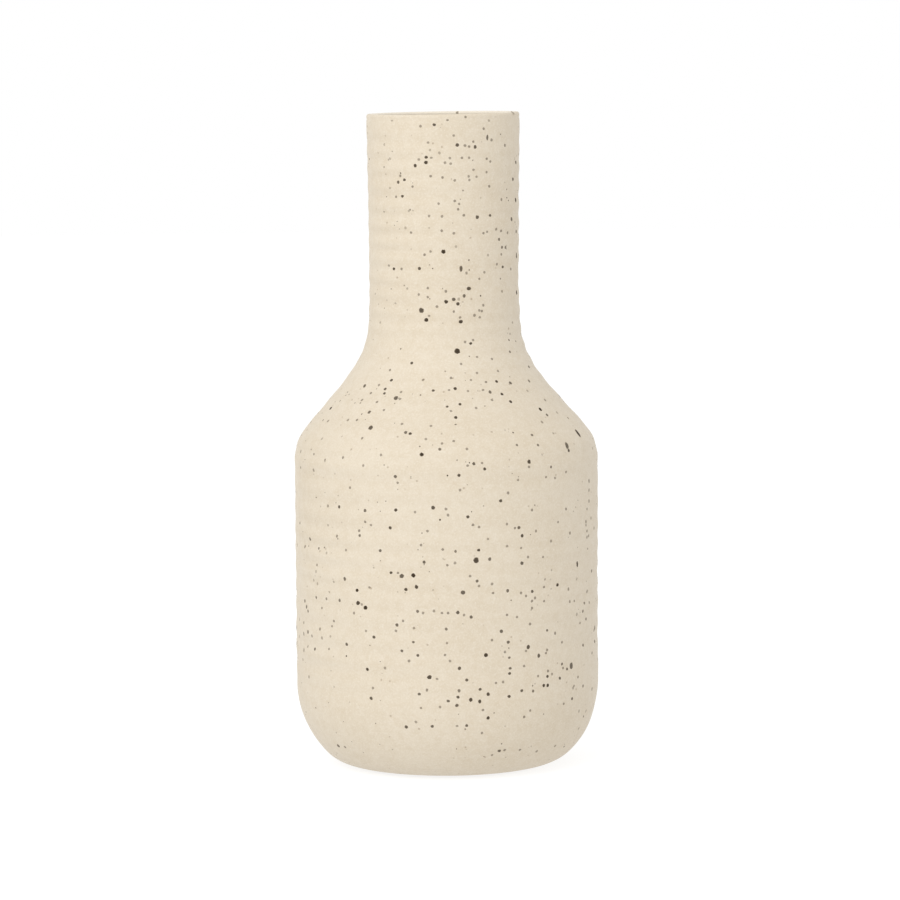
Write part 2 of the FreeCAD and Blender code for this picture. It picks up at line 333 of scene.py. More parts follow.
# Where the thrown outline is fuller or leaner than the drawn one: the height and its span, how far all
# round, and how much further on the right of the photograph than on its left
UNEVEN_PLACES = (
    (0.2590, 0.0120, -0.00012, 0.0),
    (0.2245, 0.0060, 0.0, -0.00018),
    (0.2075, 0.0080, 0.00042, 0.0),
    (0.1920, 0.0080, -0.00020, -0.00010),
    (0.1810, 0.0045, 0.00015, -0.00018),
    (0.1720, 0.0140, -0.00018, -0.00018),
    (0.1300, 0.0240, -0.00002, 0.00018),
    (0.0870, 0.0060, -0.00012, -0.00006),
    (0.0590, 0.0080, -0.00004, -0.00020),
    (0.0260, 0.0080, -0.00008, -0.00018),
    (0.0130, 0.0120, 0.00026, 0.00032),
)
# The mouth is not quite level: its rim is lowest at the front left
RIM_DIP = 0.0009
RIM_HIGH_TURN = math.radians(52)
RIM_DIP_REACH = 0.03


def ring_heights(outline):
    """Heights of the throwing rings, from their rows at the left edge of the photograph."""
    rows = np.array([pixel_of((-radius, 0, height + FOOT_LIFT))[1] for radius, height in outline])
    order = np.argsort(rows)
    return np.interp(sorted(RING_ROWS, reverse=True), rows[order], outline[order, 1])


def ring_share(heights, crests):
    """One on a ring's crest and minus one between two rings. It dies away past the last ring."""
    count = np.interp(heights, crests, np.arange(len(crests)))
    wave = np.cos(2 * np.pi * count)
    fade = np.clip((heights - RING_FADE_IN[0]) / (RING_FADE_IN[1] - RING_FADE_IN[0]), 0, 1)
    return wave * fade * fade * (3 - 2 * fade)


def drift(outline, around, span, seed):
    """Noise from minus one to one over the turned surface, with bumps about a span across."""
    rows = np.arange(0, len(outline), max(1, len(outline) // NET_ROWS))
    turns = around[::NET_TURN_STEP]
    shift = Vector(SEED_SHIFT) * seed
    net = np.array([
        [noise.noise(Vector((radius * math.cos(turn), radius * math.sin(turn), height)) / span + shift)
         for turn in turns] for radius, height in outline[rows]])
    net = np.concatenate([net, net[:, :1]], 1)
    wide = np.stack([np.interp(around, np.append(turns, 2 * np.pi), line) for line in net])
    return np.stack([np.interp(np.arange(len(outline)), rows, line) for line in wide.T], 1)


def throwing_relief(outline):
    """How far each point of the turned surface stands out from its outline."""
    crests = ring_heights(outline)
    heights = outline[:, 1]
    around = np.arange(TURNS) / TURNS * 2 * np.pi
    lifted = heights[:, None] + RING_TILT * drift(outline, around, *LEVEL_DRIFT)
    smoothed = 1 - SHOULDER_SMOOTHING * np.exp(-((lifted - SMOOTHED_HEIGHT) / SMOOTHED_SPAN) ** 2)
    pressed = 1 + RING_SIDE * np.cos(around)
    pressed += sum(grip * np.exp(-((around - turn) / span) ** 2) for turn, span, grip in RING_GRIPS)
    strength = 1 + RING_UNEVEN * drift(outline, around, *DEPTH_DRIFT)
    waves = ring_share(lifted, crests) * strength * pressed * smoothed
    count = np.arange(len(outline))
    ends = np.clip(np.minimum(count, count[::-1]) / RELIEF_END_ROWS, 0, 1)[:, None]
    uneven = sum(np.exp(-((heights - height) / span) ** 2)[:, None] * (depth + side * np.cos(around))
                 for height, span, depth, side in UNEVEN_PLACES)
    return (RING_DEPTH / 2 * waves + WOBBLE * drift(outline, around, *WALL_DRIFT) + uneven) * ends


def turned_mesh(name, outline, relief=None):
    """Turns a closed outline, whose ends lie on the axis, about the upright axis. Walking along the
    outline, the clay lies on the left."""
    ends, line = outline[[0, -1]], outline[1:-1]
    along = np.gradient(line, axis=0)
    along /= np.linalg.norm(along, axis=1)[:, None]
    around = np.arange(TURNS) / TURNS * 2 * np.pi
    out = np.zeros((len(line), TURNS)) if relief is None else relief
    radii = line[:, :1] + out * along[:, 1:]
    heights = line[:, 1:] - out * along[:, :1]
    near_rim = np.clip((heights - BODY_HEIGHT + RIM_DIP_REACH) / RIM_DIP_REACH, 0, 1) ** 2
    heights = heights - near_rim * RIM_DIP * (1 - np.cos(around - RIM_HIGH_TURN)) / 2
    rows = np.stack([radii * np.cos(around), radii * np.sin(around), heights + FOOT_LIFT], 2)
    points = [(0, 0, ends[0][1] + FOOT_LIFT), *rows.reshape(-1, 3).tolist(), (0, 0, ends[1][1] + FOOT_LIFT)]
    mesh = bpy.data.meshes.new(name)
    mesh.from_pydata(points, [], turned_faces(TURNS, len(line)))
    mesh.shade_smooth()
    unroll(mesh, outline)
    return add_to_scene(name, mesh)


def unroll(mesh, outline):
    """Lays a turned mesh out flat: once round from left to right, and along its outline upwards."""
    run = run_along(outline)
    run /= run[-1]
    here = np.arange(TURNS) / TURNS
    after, between = here + 1 / TURNS, here + 0.5 / TURNS
    level = np.ones(TURNS)
    corners = [np.stack([between, level * run[0], after, level * run[1], here, level * run[1]], 1).ravel()]
    for low, high in zip(run[1:-2], run[2:-1]):
        corners.append(np.stack([here, level * low, after, level * low,
                                 after, level * high, here, level * high], 1).ravel())
    last = [here, level * run[-2], after, level * run[-2], between, level * run[-1]]
    corners.append(np.stack(last, 1).ravel())
    flat = mesh.uv_layers.new(name="OFBake")
    flat.data.foreach_set("uv", np.concatenate(corners).astype(np.float32))


def mark_points(piece, name, row_values):
    """Keeps a value for each row of a turned piece, and for its two ends, on the mesh's points."""
    values = [row_values[0], *np.repeat(row_values[1:-1], TURNS), row_values[-1]]
    keep_values(piece.data, name, np.array(values, np.float32))


# Rows at each end of the outside that are strewn with nothing, and rows over which the coat ends
PLAIN_ROWS = 4
COAT_EDGE_ROWS = 6


def make_turned_body():
    """The clay: recess and foot ring, outside, lip and hollow, as one closed surface."""
    under, outside, lip = underside_outline(), outside_outline(), lip_outline()
    hollow = hollow_outline(0, BODY_HEIGHT - LIP_INNER_ROUND, COARSE_STEP)
    outline = np.concatenate([under, outside[1:], lip[1:], hollow[1:]])
    relief = np.zeros((len(outline) - 2, TURNS))
    first = len(under) - 1
    relief[first:first + len(outside) - 1] = throwing_relief(outside[1:])
    piece = turned_mesh("turned_body", outline, relief)
    rows = np.arange(len(outline))
    start, end = len(under), len(under) + len(outside)
    strewn = (rows >= start + PLAIN_ROWS) & (rows < end - PLAIN_ROWS)
    mark_points(piece, "outer", np.where(strewn, 1.0, 0.0))
    mark_points(piece, "bare", np.clip((start - rows) / COAT_EDGE_ROWS + 0.5, 0, 1))
    # Paler inside the lip: wear, and painted light over the shade there
    high = np.clip(1 - (BODY_HEIGHT - outline[:, 1]) / WORN_AND_PAINTED_LIGHT_REACH, 0, 1)
    inward = np.clip((WORN_AND_PAINTED_LIGHT_RADIUS - outline[:, 0]) / WORN_AND_PAINTED_LIGHT_SPAN, 0, 1)
    mark_points(piece, "worn_and_painted_light", np.where((rows >= end) & (rows < end + len(lip) + 1), high * inward, 0))
    return piece


def make_liner():
    """The glaze over the hollow. It thins out towards the lip, and the fingers left rings under it."""
    top = BODY_HEIGHT - LINING_TOP
    against = hollow_outline(0, top, COARSE_STEP)
    shown = hollow_outline(LINING_THICKNESS, top, LINER_STEP)
    run = run_along(shown)
    on_floor = shown[:, 1] < FLOOR_THICKNESS + 2 * LINING_THICKNESS
    waves = (1 - np.cos(run / INNER_RING_PITCH * 2 * np.pi)) / 2
    waves *= np.clip((run - INNER_RINGS_START) / INNER_RING_PITCH, 0, 1)
    waves *= np.clip((run[-1] - run) / INNER_RING_PITCH, 0, 1)
    shown[:, 0] -= np.where(on_floor, 0, waves * INNER_RING_DEPTH)
    shown[:, 1] += np.where(on_floor, waves * INNER_RING_DEPTH, 0)
    shown[:, 0] += np.clip(1 - run / LINING_THINNING, 0, 1) ** 2 * (LINING_THICKNESS - LINING_EDGE)
    return turned_mesh("lining", np.concatenate([against[::-1], shown]))


# Small tools for node trees

class Nodes:
    """Adds nodes to a tree, and makes the patterns and sums that materials are built of."""

    def __init__(self, tree):
        self.tree = tree

    def add(self, kind, sockets=None, **settings):
        node = self.tree.nodes.new(kind)
        for name, value in settings.items():
            setattr(node, name, value)
        self.feed_all(node, sockets or {})
        return node

    def result(self, kind, sockets=None, **settings):
        """Adds a node and hands on its first output."""
        return self.add(kind, sockets, **settings).outputs[0]

    def feed(self, socket, value):
        if isinstance(value, bpy.types.NodeSocket):
            self.tree.links.new(value, socket)
        else:
            socket.default_value = value

    def feed_all(self, node, sockets):
        for socket, value in sockets.items():
            self.feed(node.inputs[socket], value)

    def place(self, stretch=(1, 1, 1)):
        """Coordinates on the piece, in metres, with each axis stretched."""
        seat = self.add("ShaderNodeTexCoord").outputs["Object"]
        return self.result("ShaderNodeMapping", {"Vector": seat, "Scale": stretch})

    def mottle(self, place, scale, detail=2.0, roughness=0.5):
        sockets = {"Vector": place, "Scale": scale, "Detail": detail, "Roughness": roughness}
        return self.result("ShaderNodeTexNoise", sockets)

    def figure(self, operation, first, second):
        return self.result("ShaderNodeMath", {0: first, 1: second}, operation=operation)

    def added(self, first, second):
        return self.figure("ADD", first, second)

    def times(self, first, second):
        return self.figure("MULTIPLY", first, second)

    def vector(self, operation, first, second):
        socket = "Scale" if operation == "SCALE" else 1
        return self.result("ShaderNodeVectorMath", {0: first, socket: second}, operation=operation)

    def ramp(self, value, low, high, to_low=0.0, to_high=1.0, smooth=False):
        """Takes the values from low to high to another range, and holds them at its ends."""
        kind = "SMOOTHSTEP" if smooth else "LINEAR"
        sockets = {0: value, 1: low, 2: high, 3: to_low, 4: to_high}
        return self.result("ShaderNodeMapRange", sockets, interpolation_type=kind)

    def swing(self, pattern, to_low, to_high):
        """Spreads a noise, whose values keep near their middle, over a range."""
        return self.ramp(pattern, *NOISE_SPAN, to_low, to_high)

    def mix(self, share, first, second):
        return self.add("ShaderNodeMix", {0: share, 6: first, 7: second}, data_type="RGBA").outputs[2]

    def between(self, share, first, second):
        return self.result("ShaderNodeMix", {0: share, 2: first, 3: second}, data_type="FLOAT")

    def kept(self, title):
        """What the mesh keeps for each point under a name."""
        return self.add("ShaderNodeAttribute", attribute_name=title).outputs["Fac"]

    def specked(self, look, speck, strength, spacing, size, shift=0.0):
        """A colour with specks of another over it: how strong, how far apart and how large they are."""
        sockets = {"Spacing": spacing, "Size": size, "Shift": shift}
        amount = self.add("ShaderNodeGroup", sockets, node_tree=FRECKLE_GROUP).outputs["Amount"]
        return self.mix(self.times(amount, strength), look, speck)

    def bumped(self, height, depth):
        """The normal of a surface with a relief of some depth."""
        return self.result("ShaderNodeBump", {"Height": height, "Distance": depth})


def colour(red, green, blue):
    return (red, green, blue, 1.0)


def new_group(name, kind, inputs, outputs):
    """A node group, and its first and last node. Each named socket is told by its kind or by a number."""
    group = bpy.data.node_groups.new(name, kind)
    for way, sockets in (("INPUT", inputs), ("OUTPUT", outputs)):
        for title, told in sockets.items():
            sort = told if isinstance(told, str) else {int: "Int", float: "Float"}[type(told)]
            socket = group.interface.new_socket(title, in_out=way, socket_type="NodeSocket" + sort)
            if sort != told:
                socket.default_value = told
    return group, group.nodes.new("NodeGroupInput"), group.nodes.new("NodeGroupOutput")


# Colours of the fired surfaces, as linear light

COAT_CREAM = colour(0.590, 0.520, 0.414)
COAT_DEEP = colour(0.536, 0.457, 0.343)
COAT_PALE = colour(0.639, 0.578, 0.482)
# The pale inside the lip: worn coat, and painted light over the shade there
LIP_WORN_AND_PAINTED_LIGHT = colour(0.72, 0.66, 0.56)
FRECKLE_BROWN = colour(0.26, 0.19, 0.125)
IRON_BROWN = colour(0.066, 0.044, 0.024)
IRON_BLACK = colour(0.024, 0.016, 0.008)
BARE_CLAY = colour(0.440, 0.345, 0.235)
BARE_CLAY_DARK = colour(0.315, 0.228, 0.142)
BARE_GROG = colour(0.60, 0.52, 0.40)
GLAZE_THIN = colour(0.60, 0.525, 0.41)
GLAZE_POOLED = colour(0.46, 0.39, 0.275)
FELT_PALE = colour(0.42, 0.305, 0.185)
FELT_DARK = colour(0.15, 0.097, 0.052)
FLOOR_WHITE = colour(0.25, 0.25, 0.25)
FLOOR_PALE = colour(0.355, 0.355, 0.355)
WHITE = colour(1, 1, 1)

# Where nearly all of a noise's values lie
NOISE_SPAN = (0.3, 0.7)
# Patterns, as bumps to a metre, or to a metre each way
COAT_DRIFT = 22.0
COAT_PATCHES = 260.0
COAT_SAND = 1300.0
COAT_GRIT = 3100.0
COAT_STREAKS = (7, 7, 330)
COAT_EDGE_WAVES = 34.0
COAT_EDGE_CRUMBS = 420.0
FRECKLE_BEND = 900.0
CLAY_RUDDY = 90.0
CLAY_GROG = 1100.0
CLAY_TURNED = 620.0
FLECK_EDGE = 2600.0
GLAZE_RUNS = (120, 120, 14)
GLAZE_CLOUDS = 150.0
GLAZE_PITS = 420.0
FELT_FIBRES = ((500, 3600, 3600), (3600, 500, 3600), (2600, 2600, 700))
FELT_DUST = 500.0
FLOOR_CLOUDS = 6.0
# Depths of relief, and how many times the coat's the bare clay's are
COAT_GRAIN = 0.000035
GLAZE_GRAIN = 0.00006
FELT_NAP = 0.00015
GROG_RELIEF = 2.5
TURNED_RELIEF = 4.0
# How far a freckle's outline is bent
FRECKLE_PUSH = 0.0006
# Heights between which the glaze gets deeper in colour towards the floor
GLAZE_POOL = (0.006, 0.045)
# The faint haze that a matt surface shows where it turns away
DUST = {"Sheen Weight": 0.1, "Sheen Roughness": 0.4}


def make_coat_group():
    """The matt coat: drifts of tone, patches, the streaks that throwing draws round the pot, and sand."""
    inputs = {"Drift": 0.5, "Patches": 0.32, "Streaks": 0.14}
    outputs = {"Color": "Color", "Roughness": "Float", "Height": "Float"}
    group, given, made = new_group("matt_coat", "ShaderNodeTree", inputs, outputs)
    nodes = Nodes(group)
    ask = given.outputs
    even = nodes.place()
    slow = nodes.mottle(even, COAT_DRIFT, 3.0)
    streaks = nodes.mottle(nodes.place(COAT_STREAKS), 1.0, 4.0, 0.6)
    patches = nodes.mottle(even, COAT_PATCHES, 3.0, 0.6)
    sand = nodes.mottle(even, COAT_SAND, 2.0, 0.6)
    grit = nodes.mottle(even, COAT_GRIT, 1.0)
    tone = nodes.times(nodes.swing(slow, 0.0, 1.0), ask["Drift"])
    tone = nodes.added(tone, nodes.times(nodes.swing(patches, -1.0, 1.0), ask["Patches"]))
    tone = nodes.added(tone, nodes.times(nodes.swing(streaks, -1.0, 1.0), ask["Streaks"]))
    look = nodes.mix(tone, COAT_CREAM, COAT_DEEP)
    look = nodes.mix(nodes.ramp(sand, 0.5, 0.75, 0.0, 0.75), look, COAT_PALE)
    look = nodes.mix(nodes.ramp(sand, 0.25, 0.5, 0.4, 0.0), look, COAT_DEEP)
    grains = nodes.ramp(sand, 0.2, 0.8, 0.0, 0.7)
    nodes.feed_all(made, {
        "Color": look, "Roughness": nodes.swing(patches, 0.74, 0.86),
        "Height": nodes.added(grains, nodes.ramp(grit, 0.2, 0.8, 0.0, 0.3))})
    return group


def make_freckle_group():
    """Specks too small to stand out of the clay. Where a cell of the pattern lies decides their size."""
    inputs = {"Spacing": 0.0046, "Size": 0.1, "Shift": 0.0}
    group, given, made = new_group("freckles", "ShaderNodeTree", inputs, {"Amount": "Float"})
    nodes = Nodes(group)
    ask = given.outputs
    place = nodes.vector("ADD", nodes.place(), ask["Shift"])
    bent = nodes.add("ShaderNodeTexNoise", {"Vector": place, "Scale": FRECKLE_BEND, "Detail": 2.0})
    place = nodes.vector("ADD", place, nodes.vector("SCALE", bent.outputs["Color"], FRECKLE_PUSH))
    close = nodes.figure("DIVIDE", 1.0, ask["Spacing"])
    cells = nodes.add("ShaderNodeTexVoronoi", {"Vector": place, "Scale": close}).outputs
    chance = nodes.result("ShaderNodeSeparateColor", {0: cells["Color"]})
    radius = nodes.times(nodes.figure("POWER", chance, 2.0), ask["Size"])
    inside = nodes.figure("SUBTRACT", radius, cells["Distance"])
    nodes.feed(made.inputs["Amount"], nodes.ramp(inside, -0.05, 0.05, smooth=True))
    return group


COAT_GROUP = make_coat_group()
FRECKLE_GROUP = make_freckle_group()


def new_material(name):
    """A material with one surface shader, its nodes and that shader."""
    material = bpy.data.materials.new(name)
    material.use_nodes = True
    nodes = Nodes(material.node_tree)
    shader = material.node_tree.nodes["Principled BSDF"]
    return material, nodes, shader


def coated(nodes):
    """Colour, roughness and height of the coat with its freckles."""
    coat = nodes.add("ShaderNodeGroup", node_tree=COAT_GROUP).outputs
    look = nodes.specked(coat["Color"], FRECKLE_BROWN, strength=0.55, spacing=0.0042, size=0.13)
    return look, coat["Roughness"], coat["Height"]


def make_body_material():
    """The coat, which is worn pale inside the lip, with painted light there that lightens the shade inside
    the mouth, and leaves the turned clay bare under the foot.
    """
    material, nodes, shader = new_material("matt_coated_stoneware")
    look, roughness, height = coated(nodes)
    even = nodes.place()
    out = nodes.add("ShaderNodeVectorMath", {0: nodes.place((1, 1, 0))}, operation="LENGTH").outputs["Value"]
    turned = nodes.result("ShaderNodeCombineXYZ", {0: out})
    turned = nodes.mottle(turned, CLAY_TURNED, 3.0, 0.65)
    ruddy = nodes.mottle(even, CLAY_RUDDY, 3.0)
    clay = nodes.mix(nodes.ramp(ruddy, 0.35, 0.65, 0.0, 0.45), BARE_CLAY, BARE_CLAY_DARK)
    clay = nodes.mix(nodes.ramp(turned, 0.35, 0.65, 0.0, 0.5), clay, BARE_CLAY_DARK)
    clay = nodes.specked(clay, BARE_GROG, strength=0.42, spacing=0.0011, size=0.40)
    clay = nodes.specked(clay, IRON_BROWN, strength=0.85, spacing=0.0048, size=0.2)
    grog = nodes.mottle(even, CLAY_GROG, 2.0, 0.6)
    relief = nodes.added(nodes.times(grog, GROG_RELIEF), nodes.times(turned, TURNED_RELIEF))
    waves = nodes.swing(nodes.mottle(even, COAT_EDGE_WAVES, 1.0), -0.16, 0.16)
    crumbs = nodes.swing(nodes.mottle(even, COAT_EDGE_CRUMBS), -0.07, 0.07)
    bare = nodes.added(nodes.added(nodes.kept("bare"), waves), crumbs)
    bare = nodes.ramp(bare, 0.4, 0.6, smooth=True)
    # Inside the lip: worn paler, and painted light that lightens the shade there
    look = nodes.mix(nodes.ramp(nodes.kept("worn_and_painted_light"), 0.1, 0.7, 0.0, 0.8), look, LIP_WORN_AND_PAINTED_LIGHT)
    nodes.feed_all(shader, {
        "Base Color": nodes.mix(bare, look, clay), "Roughness": nodes.between(bare, roughness, 0.92),
        "Normal": nodes.bumped(nodes.between(bare, height, relief), COAT_GRAIN), **DUST})
    return material


def make_iron_material():
    """The coat at a fleck's edge, which darkens to burnt iron at its middle."""
    material, nodes, shader = new_material("iron_fleck")
    look, roughness, height = coated(nodes)
    core = nodes.kept("core")
    ragged = nodes.swing(nodes.mottle(nodes.place(), FLECK_EDGE), -0.12, 0.12)
    burnt = nodes.ramp(nodes.added(core, ragged), 0.04, 0.5, smooth=True)
    burnt = nodes.times(burnt, nodes.kept("tone"))
    iron = nodes.mix(nodes.ramp(core, 0.45, 0.95), IRON_BROWN, IRON_BLACK)
    nodes.feed_all(shader, {
        "Base Color": nodes.mix(burnt, look, iron), "Roughness": nodes.between(burnt, roughness, 0.68),
        "Specular IOR Level": 0.2, "Normal": nodes.bumped(height, COAT_GRAIN)})
    return material


def make_grit_material():
    """Grit that the coat covers: paler on top, where the coat is rubbed thin."""
    material, nodes, shader = new_material("covered_grit")
    look, roughness, height = coated(nodes)
    rubbed = nodes.ramp(nodes.kept("core"), 0.6, 1.0, 0.0, 0.35)
    nodes.feed_all(shader, {
        "Base Color": nodes.mix(rubbed, look, COAT_PALE), "Roughness": roughness,
        "Normal": nodes.bumped(height, COAT_GRAIN), **DUST})
    return material


def make_glaze_material():
    """A satin glaze: thin and sandy on the wall, deeper where it pooled on the floor."""
    material, nodes, shader = new_material("lining_glaze")
    even = nodes.place()
    height = nodes.add("ShaderNodeSeparateXYZ", {0: even}).outputs["Z"]
    runs = nodes.ramp(nodes.mottle(nodes.place(GLAZE_RUNS), 1.0, 3.0), 0.35, 0.65, 0.0, 0.3)
    pooled = nodes.added(nodes.ramp(height, *GLAZE_POOL, 1.0, 0.0), runs)
    look = nodes.mix(pooled, GLAZE_THIN, GLAZE_POOLED)
    look = nodes.specked(look, IRON_BROWN, strength=0.8, spacing=0.0058, size=0.2, shift=0.31)
    clouds = nodes.mottle(even, GLAZE_CLOUDS, 3.0)
    nodes.feed_all(shader, {
        "Base Color": look, "Roughness": nodes.swing(clouds, 0.28, 0.42), "Coat Weight": 0.25,
        "Coat Roughness": 0.2, "Normal": nodes.bumped(nodes.mottle(even, GLAZE_PITS), GLAZE_GRAIN)})
    return material


def make_felt_material():
    """Pressed wool: short fibres that lie every way."""
    material, nodes, shader = new_material("wool_felt")
    fibres, *layers = [nodes.mottle(nodes.place(stretch), 1.0, 3.0, 0.6) for stretch in FELT_FIBRES]
    for layer in layers:
        fibres = nodes.figure("MAXIMUM", fibres, layer)
    look = nodes.mix(nodes.ramp(fibres, 0.45, 0.75), FELT_DARK, FELT_PALE)
    dusty = nodes.ramp(nodes.mottle(nodes.place(), FELT_DUST), 0.4, 0.7, 0.0, 0.3)
    nodes.feed_all(shader, {
        "Base Color": nodes.mix(dusty, look, FELT_DARK), "Roughness": 0.95, "Sheen Weight": 0.08,
        "Normal": nodes.bumped(fibres, FELT_NAP)})
    return material


# Flecks and grit

